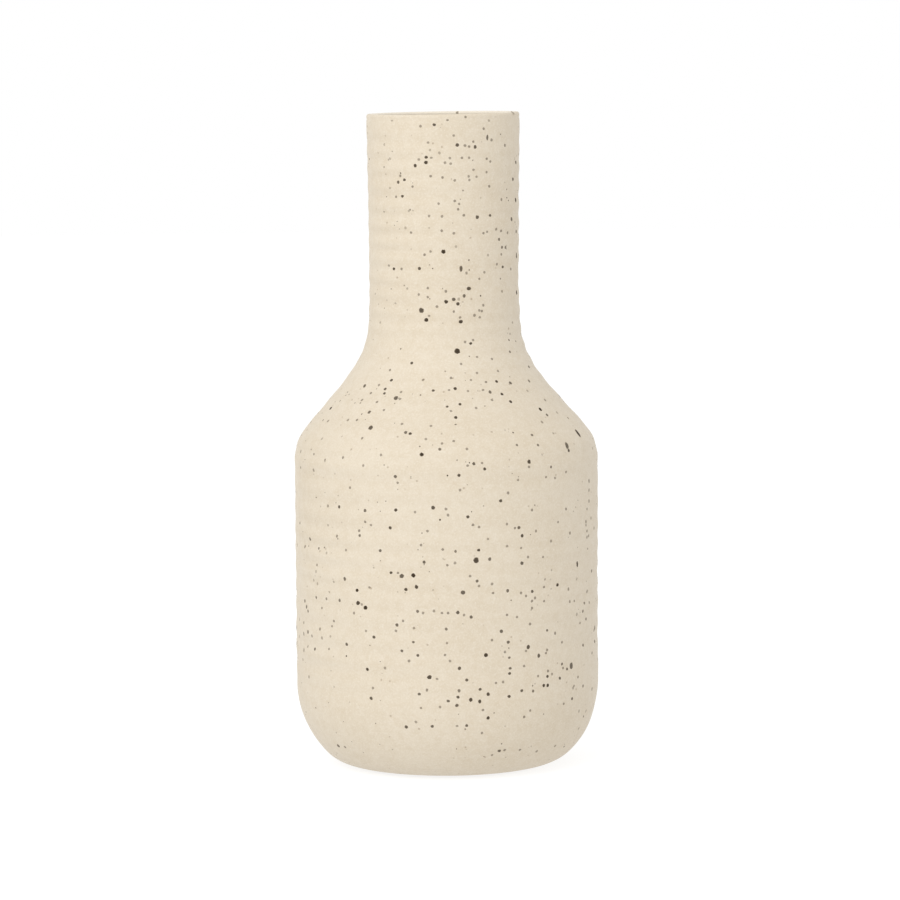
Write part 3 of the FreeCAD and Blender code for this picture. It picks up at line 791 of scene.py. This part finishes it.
# Where the photograph shows the flecks, as columns and rows of its frame, with each kind's width,
# how much taller than wide it is, and how dark
FLECK_KINDS = {
    "largest": (0.00310, 1.0, 0.97, (
        (421.4, 310.3), (457.3, 351.1), (476.2, 560.3))),
    "large": (0.00252, 1.0, 0.94, (
        (443.4, 251.8), (468.8, 288.7), (426.3, 319.9), (460.7, 321.6), (396, 398), (370.7, 427.7),
        (401.8, 575.9), (413.3, 575.5), (463, 592.5), (358.1, 603.1), (365.5, 607.6), (486, 655.1),
        (429.3, 677.4))),
    "tall": (0.00170, 2.0, 0.86, (
        (487.3, 137.7), (461.1, 268.7), (577.2, 563.8))),
    "broad": (0.00265, 1.5, 0.90, (
        (566.9, 445.8), (578, 433.3), (571.1, 666))),
    "fair": (0.00218, 1.0, 0.92, (
        (540.3, 409.3), (529.1, 461.8), (421.7, 454.5), (425.9, 162.4), (433, 507.7), (477.4, 217.1),
        (357.1, 590.2), (528.2, 647.1), (446.2, 301.8), (518.8, 527.7), (453.8, 299.4), (522, 563))),
    "middling": (0.00188, 1.0, 0.87, (
        (434.3, 124.7), (457.2, 145), (475.1, 146.8), (426.3, 157.3), (415.2, 165.5), (404.4, 179.8),
        (402.4, 196.2), (419.4, 268.5), (393.9, 268.5), (464.2, 295.9), (457.9, 303.9), (411.7, 363.1),
        (391.4, 380.2), (385.2, 389), (433.2, 390.5), (455.8, 417.5), (459.9, 404.3), (405.7, 432.5),
        (410.2, 433.6), (510.3, 382.9), (502, 394.1), (568.7, 450.4), (484.7, 468.9), (458.9, 475.3),
        (395.4, 476.6), (500.7, 500.8), (467.8, 516.9), (339.2, 506.9), (395.7, 510), (365, 510.5),
        (522.1, 535.6), (390.3, 527.8), (380.3, 550.6), (478.7, 550.2), (489.7, 559.2), (391.1, 572.7),
        (344.7, 578.8), (557.4, 585), (416.4, 586.9), (405.9, 589.5), (507.6, 590.7), (457.8, 612.5),
        (471.2, 617.1), (396.9, 625), (501.5, 631.3), (373.9, 637.1), (346.7, 644.2), (508.3, 642.2),
        (367.4, 669.3), (459.5, 668.3), (509.5, 673.5), (538.8, 655.8), (547.4, 676.4), (559.8, 678.2),
        (466.9, 680), (543.8, 685.5), (547.7, 685.3), (480.1, 689.3), (479.8, 701.4), (488.1, 694.2),
        (509, 696.4), (371.2, 698.3), (448.2, 701), (458, 697.1), (470.7, 699.9), (456.9, 705.4),
        (488.1, 717.9), (406.3, 726.9), (432.2, 726.4), (499.2, 750.8), (338.5, 745.9), (470.7, 343.4),
        (364.5, 385.9), (330.7, 408.3), (369.3, 412.1), (384.5, 393.4), (455.2, 388.6), (490, 392.1),
        (496.6, 381.4), (510.7, 401.7), (473.8, 463.8), (419.3, 694.1), (521.7, 690.7), (532.1, 591.4),
        (515.8, 162.3), (512.9, 179.1), (515.6, 199.9), (511.5, 219.1), (516.1, 231.5), (516.5, 256),
        (516.6, 292.5))),
    "modest": (0.00165, 1.0, 0.78, (
        (310.1, 539.1), (304.9, 601.1), (316.2, 597.4), (339.6, 600.3), (308, 611), (308, 632), (315, 649),
        (591.6, 571), (594.6, 628), (594.6, 641.6), (582.9, 611.1), (586, 618.9), (583, 645), (567, 669),
        (562, 664), (529, 367), (529, 381), (547, 415), (532, 435), (538, 445), (517, 445), (551, 467),
        (572.1, 698.7), (401.9, 650.8), (466.7, 725.6), (413.4, 642.1), (446.2, 629), (510.2, 668.3),
        (424.2, 562), (459, 690.7), (447.2, 406.6), (509.3, 657.6), (490, 215.3), (417.6, 611.4),
        (417.8, 655.4), (547, 630.4), (510, 352), (439.8, 449.3), (455.6, 551.3), (533, 691), (477, 581),
        (398.2, 182.2), (359.7, 535.6), (306.6, 606.8), (318.9, 548.2), (499, 239.4), (502, 247.4),
        (505.5, 247.4), (502.7, 266.9))),
    "small": (0.00156, 1.0, 0.57, (
        (300, 523), (303.8, 633.8), (303.8, 622.5), (305, 546.5), (586, 521.5), (594, 528), (588.6, 535.8),
        (587, 591.5), (568.4, 589), (521, 334.2), (465, 145.5), (504.8, 145.3), (462, 157.8),
        (400.3, 175.8), (442.5, 177.5), (501.5, 199.5), (429, 216), (442, 216.3), (501, 231),
        (507.5, 232.8), (501.3, 254.3), (510.8, 269), (479.3, 278.8), (502, 291.3), (445.8, 291.3),
        (427.8, 288), (427.8, 297), (418.8, 294.5), (437, 306.5), (429, 315.8), (483.3, 305.3),
        (479.3, 310.3), (481.8, 311), (474.5, 315.3), (479.8, 317.3), (453.8, 311.5), (460, 317.5),
        (447.5, 119.9), (420.5, 126.2), (483.6, 128.7), (453.6, 135.6), (428.1, 142.6), (469.1, 146.5),
        (473.3, 141.6), (491.5, 140), (431.2, 157.7), (418.8, 159.6), (445, 162.6), (450.7, 163.7),
        (449.9, 158), (469.1, 157.7), (486.6, 158.8), (490.3, 161.5), (473.4, 169.7), (486.6, 172.1),
        (468.7, 176.3), (469.4, 180), (476.5, 176.7), (489.2, 186.2), (412.6, 186.7), (430.6, 176.3),
        (454.7, 180.4), (396.2, 197), (438.6, 203.6), (454.7, 201), (459.1, 203.9), (458.2, 209.2),
        (463.9, 215.2), (411.1, 232.6), (441.7, 230.7), (453.9, 233.2), (487.1, 231.7), (483.4, 233.2),
        (430.6, 251.5), (424.5, 254.7), (388.9, 265.7), (401.6, 269), (466.4, 273), (484.4, 272.2),
        (496.2, 229.2), (496.9, 264.2), (343, 457.4), (363.2, 465.6), (350, 487.7), (397.6, 482.8),
        (313.6, 470.2), (300.7, 467.6), (300.9, 451.2), (362.2, 438.2), (442.1, 443.5), (453.6, 441.1),
        (467.7, 465.6), (427.5, 531), (359.2, 530.7), (442.7, 549.4), (447.3, 565.2), (365.2, 521.8),
        (369.4, 587.3), (326.5, 598.8), (361.8, 604.5), (580, 623), (589.2, 602.5), (584.4, 603.2),
        (574.3, 600.9), (569.8, 601.6), (562, 642.2), (555.1, 633.3), (563.7, 703.7), (530.3, 710.5),
        (524.1, 716.9), (504.6, 750), (520, 749.8), (536.7, 751.3), (465, 342), (473, 340), (461, 364),
        (477, 357), (492, 359), (390, 370), (379, 385), (401, 392), (400, 399), (371, 393), (377, 402),
        (384, 410), (362, 400), (348, 420), (357, 420), (328, 421), (402, 424), (426, 439), (431, 426),
        (423, 380), (451, 378), (449, 390), (468, 391), (471, 380), (477, 373), (498, 371), (486, 382),
        (483, 390), (492, 400), (451, 411), (476, 408), (545, 400), (542, 422), (529, 467), (467, 449),
        (566, 472), (546, 477), (555, 478), (518, 480), (508, 493), (482, 463), (460, 490), (381, 455),
        (314, 454), (325, 460), (328, 506), (415, 512), (446, 509), (448, 515), (473, 525), (479, 527),
        (371, 525), (337, 536), (346, 550), (421, 545), (488, 539), (507, 524), (515, 528), (507, 546),
        (521, 548), (528, 557), (543, 557), (536, 531), (551, 541), (558, 522), (566, 509), (532, 510),
        (570, 533), (589, 481), (589, 490), (589, 501), (587, 509), (591, 518), (586, 525), (587, 531),
        (587, 537), (455, 563), (317, 565), (398, 573), (470, 576), (479, 586), (493, 593), (492, 584),
        (521, 593), (544, 587), (322, 608), (354, 613), (532, 601), (544, 601), (535, 598), (526, 596),
        (532, 608), (423, 613), (434, 611), (442, 613), (448, 613), (464, 615), (507, 615), (517, 617),
        (530, 624), (403, 621), (396, 631), (414, 628), (334, 621), (332, 626), (320, 629), (312, 636),
        (322, 638), (297, 643), (366, 631), (329, 649), (304, 650), (309, 677), (409, 661), (445, 655),
        (447, 643), (450, 661), (492, 640), (505, 652), (526, 651), (524, 666), (547, 650), (546, 653),
        (592, 653), (594, 630), (563, 668), (548, 671), (552, 674), (538, 676), (578, 677), (583, 686),
        (574, 686), (573, 688), (592, 689), (385, 668), (437, 679), (496, 683), (503, 682), (373, 688),
        (427, 690), (483, 710), (421, 708), (440, 707), (416, 722), (457, 726), (482, 733), (345, 747),
        (492, 755), (555, 746), (457.2, 112.8), (465.5, 117), (512.8, 112.6))),
    "faint": (0.00150, 1.0, 0.38, (
        (297.5, 545), (316, 571.5), (317.5, 583.8), (313.8, 580), (299.5, 619.3), (299.3, 636.3),
        (308, 646.3), (303, 659.5), (326.5, 553), (333.8, 581.8), (328, 525), (330.5, 636.3), (322, 438.8),
        (325, 460.8), (576.8, 579), (576.8, 614.4), (586, 711), (579, 711), (578.6, 728.6), (527.5, 390.8),
        (553.3, 433.3), (592.5, 448.3), (557, 412.5), (392, 120.5), (488.8, 120.5), (384.3, 144.3),
        (390, 158.5), (439.3, 153), (430, 150), (390, 188), (408.8, 211), (405.5, 228), (488, 255),
        (456, 246.5), (407.3, 288.5), (458.8, 299), (380.3, 322.5), (395.5, 303.3), (510, 333.8),
        (512.5, 322.5))),
}
DARKNESS_SPREAD = 0.1
WIDTH_SPREAD = 0.06
TALLNESS_SPREAD = (0.9, 1.15)
# Flecks near the outline are seen at a slant, and only the larger ones there can be read
LIMB_WIDENING = 0.6
# A pixel that just misses the vase is moved towards its axis, a step at a time
MISS_STEP = 0.35
MISS_STEPS = 24
LEAST_SLANT = 0.05
# Grit that shows as a bump on the vase's right-hand edge in the photograph
EDGE_GRIT = ((524, 337), (598, 574), (598, 583), (598, 592), (595.3, 628), (595.3, 642), (585, 730))
GRIT_WIDTH = 0.0014
GRIT_SPREAD = 0.2
FLECK_RISE = 0.00007
GRIT_RISE = 0.00022
# Flecks that the photograph does not show clearly enough to place one by one
STREWN_SMALL = 11500.0
STREWN_LARGE = 9500.0
STREWN_GRIT = 900.0
STREWN_TALLNESS = (0.85, 1.35)
FLECK_SEED, GRIT_SEED = 41, 43
STREWN_TALLNESS_SEED, STREWN_TONE_SEED = 5, 6
# They lie in patches: a noise's bumps to a metre, the span of its values that counts, and how thinly
# and how thickly they are strewn at the two ends of that span
PATCH_BUMPS = 42.0
PATCH_SPAN = (0.38, 0.62)
PATCH_THICKNESS = (0.15, 1.9)
# From front to back, the side that the photograph shows ends between these places
FRONT_EDGE = (-0.012, 0.004)
# The noise that makes their outlines ragged: its bumps to a metre, and what its swing is multiplied by
RAGGED_BUMPS = 1500.0
RAGGED_PUSH = 4.0

FLAKE_SIDES = 12
# Radius, height and core of each ring of the template that every fleck is drawn from
FLAKE_RINGS = ((1.0, -0.9, 0.0), (0.86, -0.1, 0.22), (0.58, 0.6, 0.65))
FLAKE_TOP = 0.8


def make_flake():
    """A flat mound, one across its radius and one high, whose edge lies under the surface."""
    points, cores = [], []
    for radius, height, core in FLAKE_RINGS:
        points += circle(radius, height, FLAKE_SIDES)
        cores += [core] * FLAKE_SIDES
    points.append((0, 0, FLAKE_TOP))
    cores.append(1.0)
    # It has no underside, so it has no end point before the first ring either
    faces = turned_faces(FLAKE_SIDES, len(FLAKE_RINGS), first=-1)[FLAKE_SIDES:]
    mesh = bpy.data.meshes.new("flake")
    mesh.from_pydata(points, [], faces)
    mesh.shade_smooth()
    keep_values(mesh, "core", cores)
    return bpy.data.objects.new("flake", mesh)


def surface_tree(mesh):
    """The faces of a mesh, sorted so that a ray finds the one that it meets first."""
    return BVHTree.FromPolygons([vertex.co for vertex in mesh.vertices],
                                [face.vertices for face in mesh.polygons])


def landed(tree, column, row):
    """Where the ray through a pixel meets the vase, and how the surface faces there."""
    for _ in range(MISS_STEPS):
        start, along = ray_through(column, row)
        here, facing, _, _ = tree.ray_cast(start, along)
        if here is not None and facing.dot(along) < -LEAST_SLANT:
            return here, facing
        column += math.copysign(MISS_STEP, AXIS_COLUMN - column)
    raise ValueError("no part of the vase lies near this pixel")


def spread(chance, share):
    """A factor that is up to a share more or less than one."""
    return chance.uniform(1 - share, 1 + share)


def fleck_points(tree):
    """Place, facing, half width, tallness, darkness and rise of each fleck read from the photograph."""
    chance = random.Random(FLECK_SEED)
    rows = []
    for width, tallness, darkness, pixels in FLECK_KINDS.values():
        for column, row in pixels:
            here, facing = landed(tree, column, row)
            turned_away = 1 + facing.dot(ray_through(column, row)[1])
            half = width / 2 * spread(chance, WIDTH_SPREAD) * (1 + LIMB_WIDENING * turned_away ** 2)
            dark = min(darkness * spread(chance, DARKNESS_SPREAD), 1.0)
            rows.append((here, facing, half, tallness * chance.uniform(*TALLNESS_SPREAD), dark, FLECK_RISE))
    return rows


def grit_points(tree):
    """The same for the grit on the outline."""
    chance = random.Random(GRIT_SEED)
    return [(*landed(tree, column, row), GRIT_WIDTH / 2 * spread(chance, GRIT_SPREAD), 1.0, 1.0, GRIT_RISE)
            for column, row in EDGE_GRIT]


def point_cloud(name, rows):
    """An object of loose points that keeps each point's facing, half width and so on."""
    mesh = bpy.data.meshes.new(name)
    mesh.from_pydata([row[0] for row in rows], [], [])
    keep_values(mesh, "facing", [value for row in rows for value in row[1]], "FLOAT_VECTOR")
    for place, title in enumerate(("half_width", "tallness", "tone", "rise"), start=2):
        keep_values(mesh, title, [row[place] for row in rows])
    return add_to_scene(name, mesh)


class FieldNodes(Nodes):
    """Nodes of a geometry tree, with the few calls that the strewing needs."""

    def named(self, title, kind="FLOAT"):
        return self.result("GeometryNodeInputNamedAttribute", {"Name": title}, data_type=kind)

    def keep(self, geometry, title, value, kind="FLOAT"):
        sockets = {"Geometry": geometry, "Name": title, "Value": value}
        return self.result("GeometryNodeStoreNamedAttribute", sockets, data_type=kind, domain="POINT")

    def chance(self, low, high, seed):
        node = self.add("FunctionNodeRandomValue", data_type="FLOAT")
        for socket, value in (("Min", low), ("Max", high), ("Seed", seed)):
            self.feed(next(found for found in node.inputs if found.name == socket and found.enabled), value)
        return next(found for found in node.outputs if found.enabled)


def make_strewing_group():
    """Strews flakes over the body's outside, joins them to the ones placed one by one, and makes each one
    a ragged mound that lies on the surface."""
    inputs = {
        "Placed": "Geometry", "Body": "Object", "Flake": "Object", "Density": 1000.0, "Front Share": 1.0,
        "Patchiness": 1.0, "Smallest": 0.0002, "Largest": 0.0005, "Fewer Large": 2.0, "Palest": 0.5,
        "Rise": 0.0001, "Raggedness": 0.16, "Seed": 1, "Material": "Material",
    }
    group, given, made = new_group("strewn_flakes", "GeometryNodeTree", inputs, {"Flakes": "Geometry"})
    nodes = FieldNodes(group)
    ask = given.outputs
    surface = nodes.add("GeometryNodeObjectInfo", {"Object": ask["Body"]}).outputs["Geometry"]
    flake = nodes.add("GeometryNodeObjectInfo", {"Object": ask["Flake"]}).outputs["Geometry"]
    place = nodes.result("GeometryNodeInputPosition")

    # How thickly each part of the outside is strewn
    patches = nodes.ramp(nodes.mottle(place, PATCH_BUMPS), *PATCH_SPAN, *PATCH_THICKNESS, smooth=True)
    thick = nodes.between(ask["Patchiness"], 1.0, patches)
    behind = nodes.ramp(nodes.add("ShaderNodeSeparateXYZ", {0: place}).outputs["Y"], *FRONT_EDGE)
    thick = nodes.times(thick, nodes.between(behind, ask["Front Share"], 1.0))
    thick = nodes.times(thick, nodes.times(nodes.named("outer"), ask["Density"]))
    strewn = nodes.add("GeometryNodeDistributePointsOnFaces",
                       {"Mesh": surface, "Density": thick, "Seed": ask["Seed"]}, distribute_method="RANDOM")
    points = nodes.keep(strewn.outputs["Points"], "facing", strewn.outputs["Normal"], "FLOAT_VECTOR")
    size = nodes.figure("POWER", nodes.chance(0.0, 1.0, ask["Seed"]), ask["Fewer Large"])
    points = nodes.keep(points, "half_width", nodes.between(size, ask["Smallest"], ask["Largest"]))
    points = nodes.keep(points, "tallness", nodes.chance(*STREWN_TALLNESS, STREWN_TALLNESS_SEED))
    points = nodes.keep(points, "tone", nodes.chance(ask["Palest"], 1.0, STREWN_TONE_SEED))
    points = nodes.keep(points, "rise", ask["Rise"])

    placed = nodes.result("GeometryNodeMeshToPoints", {"Mesh": ask["Placed"]})
    joined = nodes.add("GeometryNodeJoinGeometry")
    group.links.new(points, joined.inputs[0])
    group.links.new(placed, joined.inputs[0])

    # Each flake lies flat on the surface, with its height upright
    facing = nodes.named("facing", "FLOAT_VECTOR")
    lie = nodes.result("FunctionNodeAlignRotationToVector", {"Vector": facing}, axis="Z")
    stand = nodes.result("FunctionNodeAlignRotationToVector",
                         {"Rotation": lie, "Vector": (0, 0, 1)}, axis="Y", pivot_axis="Z")
    width = nodes.named("half_width")
    scale = nodes.result("ShaderNodeCombineXYZ", {
        "X": width, "Y": nodes.times(width, nodes.named("tallness")), "Z": nodes.named("rise")})
    flakes = nodes.result("GeometryNodeInstanceOnPoints", {
        "Points": joined.outputs[0], "Instance": flake, "Rotation": stand, "Scale": scale})
    solid = nodes.result("GeometryNodeRealizeInstances", {"Geometry": flakes})

    # Ragged outlines: noise moves the points along the surface and not off it
    wild = nodes.add("ShaderNodeTexNoise", {"Vector": place, "Scale": RAGGED_BUMPS, "Detail": 1.0})
    wild = nodes.vector("SUBTRACT", wild.outputs["Color"], (0.5, 0.5, 0.5))
    flat = nodes.vector("SUBTRACT", wild, nodes.vector("PROJECT", wild, facing))
    far = nodes.times(nodes.times(width, ask["Raggedness"]), RAGGED_PUSH)
    moved = {"Geometry": solid, "Offset": nodes.vector("SCALE", flat, far)}
    solid = nodes.result("GeometryNodeSetPosition", moved)
    solid = nodes.result("GeometryNodeSetMaterial", {"Geometry": solid, "Material": ask["Material"]})
    nodes.feed(made.inputs[0], solid)
    return group


def strew(name, group, placed, settings):
    """Runs the strewing once and keeps its result as a plain mesh."""
    cloud = point_cloud(name + "_points", placed)
    modifier = cloud.modifiers.new("strewing", "NODES")
    modifier.node_group = group
    sockets = {item.name: item.identifier for item in group.interface.items_tree
               if item.in_out == "INPUT"}
    for title, value in settings.items():
        modifier[sockets[title]] = value
    state = bpy.context.evaluated_depsgraph_get()
    mesh = bpy.data.meshes.new_from_object(cloud.evaluated_get(state), depsgraph=state)
    cloud.modifiers.clear()
    bpy.data.objects.remove(cloud)
    mesh.name = name
    return add_to_scene(name, mesh)


# Felt pads

PAD_TURNS = (90, 210, 330)
PAD_SIDES = 48
PAD_EDGE = 0.00028
PAD_EDGE_STEP = PAD_EDGE / 3
PAD_RING_SHARES = (0.25, 0.5, 0.75)
PAD_FUZZ = 0.00007
PAD_FUZZ_SPAN = 0.0006
# How far the three pads' middles reach from front to back, in radii of their ring
PAD_REACH = 1.5


def make_felt_pads():
    """Three punched discs of felt under the foot ring, with soft edges and loose fibres."""
    ring = FOOT_RADIUS - FOOT_RING_WIDTH / 2
    radius = (PADS_HIGH.y - PADS_LOW.y - PAD_REACH * ring) / 2
    thick = PADS_HIGH.z - PADS_LOW.z
    outline = [(radius * share, 0.0) for share in PAD_RING_SHARES]
    outline += arc((radius - PAD_EDGE, PAD_EDGE), PAD_EDGE, -90, 0, PAD_EDGE_STEP).tolist()
    outline += arc((radius - PAD_EDGE, thick - PAD_EDGE), PAD_EDGE, 0, 90, PAD_EDGE_STEP).tolist()
    outline += [(radius * share, thick) for share in reversed(PAD_RING_SHARES)]
    points, faces = [], []
    for turn in PAD_TURNS:
        middle = ring * math.cos(math.radians(turn)), ring * math.sin(math.radians(turn))
        first = len(points)
        points.append((*middle, 0.0))
        for out, height in outline:
            for side in range(PAD_SIDES):
                around = side / PAD_SIDES * 2 * math.pi
                x, y = middle[0] + out * math.cos(around), middle[1] + out * math.sin(around)
                fuzz = PAD_FUZZ * noise.noise(Vector((x, y, height)) / PAD_FUZZ_SPAN) * min(1, out / radius)
                points.append((x + fuzz * math.cos(around), y + fuzz * math.sin(around), height))
        points.append((*middle, thick))
        faces += turned_faces(PAD_SIDES, len(outline), first)
    mesh = bpy.data.meshes.new("felt_pads")
    mesh.from_pydata(points, [], faces)
    mesh.shade_smooth()
    return add_to_scene("felt_pads", mesh)


# Studio

FLOOR_RADIUS = 6.0
FLOOR_SIDES = 64
FLOOR_GLOW = 0.80
SURROUNDING_GLOW = 1.0
KEY_TURN = math.radians(26)
KEY_HEIGHT = 1.5
KEY_REACH = 2.0
KEY_SIDE = 1.3
KEY_POWER = 26.5


def make_floor():
    """A plain white floor that glows enough to run into the white behind the vase."""
    mesh = bpy.data.meshes.new("floor")
    mesh.from_pydata(circle(FLOOR_RADIUS, 0.0, FLOOR_SIDES), [], [tuple(range(FLOOR_SIDES))])
    material, nodes, shader = new_material("white_floor")
    tone = nodes.swing(nodes.mottle(nodes.place(), FLOOR_CLOUDS, 3.0), 0.0, 0.2)
    nodes.feed_all(shader, {
        "Base Color": nodes.mix(tone, FLOOR_WHITE, FLOOR_PALE), "Roughness": 1.0,
        "Specular IOR Level": 0.0, "Emission Color": WHITE, "Emission Strength": FLOOR_GLOW})
    mesh.materials.append(material)
    return add_to_scene("floor", mesh)


def light_scene():
    """White all round, and one large soft lamp a little to the left of the camera."""
    world = bpy.data.worlds.new("white_surroundings")
    world.use_nodes = True
    back = world.node_tree.nodes["Background"]
    back.inputs["Color"].default_value = WHITE
    back.inputs["Strength"].default_value = SURROUNDING_GLOW
    bpy.context.scene.world = world
    lamp = bpy.data.lights.new("key", "AREA")
    lamp.shape = "SQUARE"
    lamp.size = KEY_SIDE
    lamp.energy = KEY_POWER
    key = add_to_scene("key", lamp)
    key.location = (-KEY_REACH * math.sin(KEY_TURN), -KEY_REACH * math.cos(KEY_TURN), KEY_HEIGHT)
    aim = Vector((0, 0, BODY_HEIGHT / 2)) - key.location
    key.rotation_euler = aim.to_track_quat("-Z", "Y").to_euler()
    bpy.context.scene.view_settings.view_transform = "Standard"


# The vase

body = make_turned_body()
body.data.materials.append(make_body_material())
liner = make_liner()
liner.data.materials.append(make_glaze_material())
pads = make_felt_pads()
pads.data.materials.append(make_felt_material())

iron, grit = make_iron_material(), make_grit_material()
flake, strewing = make_flake(), make_strewing_group()
outside = surface_tree(body.data)
shared = {"Body": body, "Flake": flake}
flecks = strew("iron_flecks", strewing, fleck_points(outside), {
    **shared, "Density": STREWN_SMALL, "Front Share": 0.45, "Smallest": 0.00028, "Largest": 0.00058,
    "Fewer Large": 1.6, "Palest": 0.2, "Rise": FLECK_RISE, "Seed": 7, "Material": iron})
far_flecks = strew("iron_flecks_behind", strewing, [], {
    **shared, "Density": STREWN_LARGE, "Front Share": 0.0, "Smallest": 0.00058, "Largest": 0.00125,
    "Fewer Large": 2.2, "Palest": 0.8, "Rise": FLECK_RISE, "Seed": 19, "Material": iron})
covered = strew("covered_grit", strewing, grit_points(outside), {
    **shared, "Density": STREWN_GRIT, "Patchiness": 0.6, "Smallest": 0.0003, "Largest": 0.0008,
    "Rise": GRIT_RISE / 2, "Seed": 29, "Material": grit})
bpy.data.objects.remove(flake)

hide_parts("stoneware_body")
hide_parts("lining_glaze")
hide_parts("foot_pads")
for piece, finish in ((body, "stoneware"), (liner, "clear_glaze"), (pads, "felt"),
                      (flecks, "stoneware"), (far_flecks, "stoneware"), (covered, "stoneware")):
    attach(piece, "root")

make_floor()
light_scene()
add_camera()
